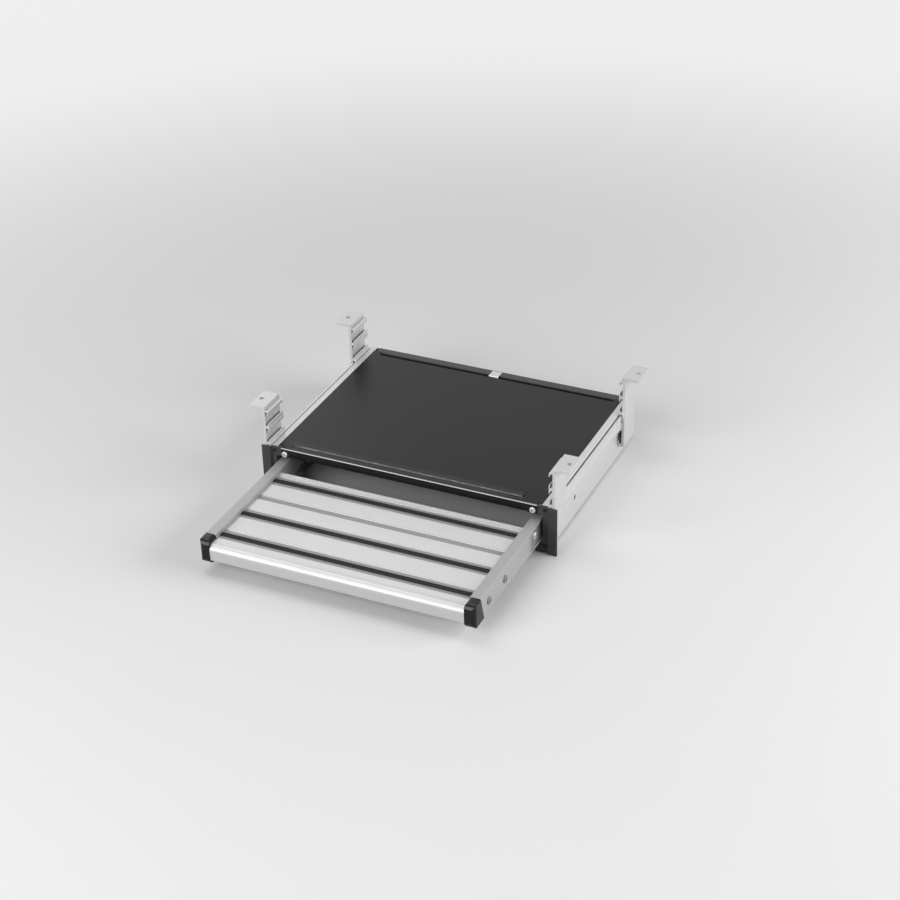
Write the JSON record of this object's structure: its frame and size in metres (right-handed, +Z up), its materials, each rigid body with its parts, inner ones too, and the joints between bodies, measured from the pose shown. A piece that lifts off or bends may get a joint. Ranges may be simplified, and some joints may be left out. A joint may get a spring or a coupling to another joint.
{
  "type": "slide-out step",
  "caption": "Slide-out entrance step for a vehicle: ribbed aluminium tread on box arms running out of a covered rail housing that hangs from hooked, height-adjusting brackets.",
  "frame": {"origin": "centre of the four bolt holes, on the brackets' top faces where they meet the vehicle floor", "axes": "+Z up into the floor, +Y back into the housing, +X to the right seen from in front; the tread slides out along -Y"},
  "size_m": [0.553, 0.6263, 0.155],
  "materials": {
    "rail_aluminium": "mill-finish extrusion",
    "bracket_aluminium": "mill-finish extrusion",
    "arm_aluminium": "natural anodised",
    "plank_aluminium": "natural anodised",
    "cover_black": "satin black powder coat",
    "frame_black": "satin black powder coat",
    "clip_steel": "bright spring steel",
    "screw_zinc": "bright zinc plated",
    "screw_black": "black oxide",
    "carriage_steel": "satin black coat",
    "grip_rubber": "ribbed black rubber",
    "stop_rubber": "plain black rubber",
    "wheel_plastic": "off-white nylon",
    "cap_plastic": "gloss black moulding"
  },
  "bodies": {
    "housing": {"side_rail_right": "rail_aluminium", "side_rail_left": "rail_aluminium", "cover_plate": "cover_black", "rear_crossbar": "frame_black", "cover_clip": "clip_steel", "end_plate_right": "frame_black", "end_plate_left": "frame_black", "bracket_front_right": "bracket_aluminium", "bracket_front_left": "bracket_aluminium", "bracket_rear_right": "bracket_aluminium", "bracket_rear_left": "bracket_aluminium", "lip_screws": "screw_zinc", "end_plate_screws": "screw_black", "crossbar_screws": "screw_black", "front_stop_blocks": "stop_rubber", "rear_stop_blocks": "stop_rubber", "stop_screws": "screw_zinc", "support_axles": "screw_zinc"},
    "tread": {"arm_right": "arm_aluminium", "arm_left": "arm_aluminium", "front_plank": "plank_aluminium", "rear_plank": "plank_aluminium", "grip_strip_rear": "grip_rubber", "grip_strip_middle": "grip_rubber", "grip_strip_front": "grip_rubber", "corner_cap_right": "cap_plastic", "corner_cap_left": "cap_plastic", "arm_screws": "screw_zinc", "plank_screws": "screw_zinc", "carriage_bar_right": "carriage_steel", "carriage_bar_left": "carriage_steel", "carriage_screws": "screw_zinc", "wheel_axles": "screw_zinc"},
    "front_wheel_right_body": {"front_wheel_right": "wheel_plastic"},
    "front_wheel_left_body": {"front_wheel_left": "wheel_plastic"},
    "rear_wheel_right_body": {"rear_wheel_right": "wheel_plastic"},
    "rear_wheel_left_body": {"rear_wheel_left": "wheel_plastic"},
    "support_wheel_right_body": {"support_wheel_right": "wheel_plastic"},
    "support_wheel_left_body": {"support_wheel_left": "wheel_plastic"}
  },
  "joints": [
    {"name": "tread_slide", "type": "slide", "parent": "housing", "child": "tread", "axis": [0, 1, 0], "range_m": [0, 0.23]},
    {"name": "front_wheel_right_spin", "type": "hinge", "parent": "tread", "child": "front_wheel_right_body", "pos_m": [0.23515, -0.129, -0.1153], "axis": [1, 0, 0], "continuous": true},
    {"name": "front_wheel_left_spin", "type": "hinge", "parent": "tread", "child": "front_wheel_left_body", "pos_m": [-0.23515, -0.129, -0.1153], "axis": [1, 0, 0], "continuous": true},
    {"name": "rear_wheel_right_spin", "type": "hinge", "parent": "tread", "child": "rear_wheel_right_body", "pos_m": [0.23515, -0.079, -0.1153], "axis": [1, 0, 0], "continuous": true},
    {"name": "rear_wheel_left_spin", "type": "hinge", "parent": "tread", "child": "rear_wheel_left_body", "pos_m": [-0.23515, -0.079, -0.1153], "axis": [1, 0, 0], "continuous": true},
    {"name": "support_wheel_right_spin", "type": "hinge", "parent": "housing", "child": "support_wheel_right_body", "pos_m": [0.2242, -0.157, -0.1421], "axis": [1, 0, 0], "continuous": true},
    {"name": "support_wheel_left_spin", "type": "hinge", "parent": "housing", "child": "support_wheel_left_body", "pos_m": [-0.2242, -0.157, -0.1421], "axis": [1, 0, 0], "continuous": true}
  ],
  "couplings": [
    {"joint": "front_wheel_right_spin", "follows": "tread_slide", "rad_per_m": -76.923},
    {"joint": "front_wheel_left_spin", "follows": "tread_slide", "rad_per_m": -76.923},
    {"joint": "rear_wheel_right_spin", "follows": "tread_slide", "rad_per_m": -76.923},
    {"joint": "rear_wheel_left_spin", "follows": "tread_slide", "rad_per_m": -76.923},
    {"joint": "support_wheel_right_spin", "follows": "tread_slide", "rad_per_m": -153.85},
    {"joint": "support_wheel_left_spin", "follows": "tread_slide", "rad_per_m": -153.85}
  ]
}
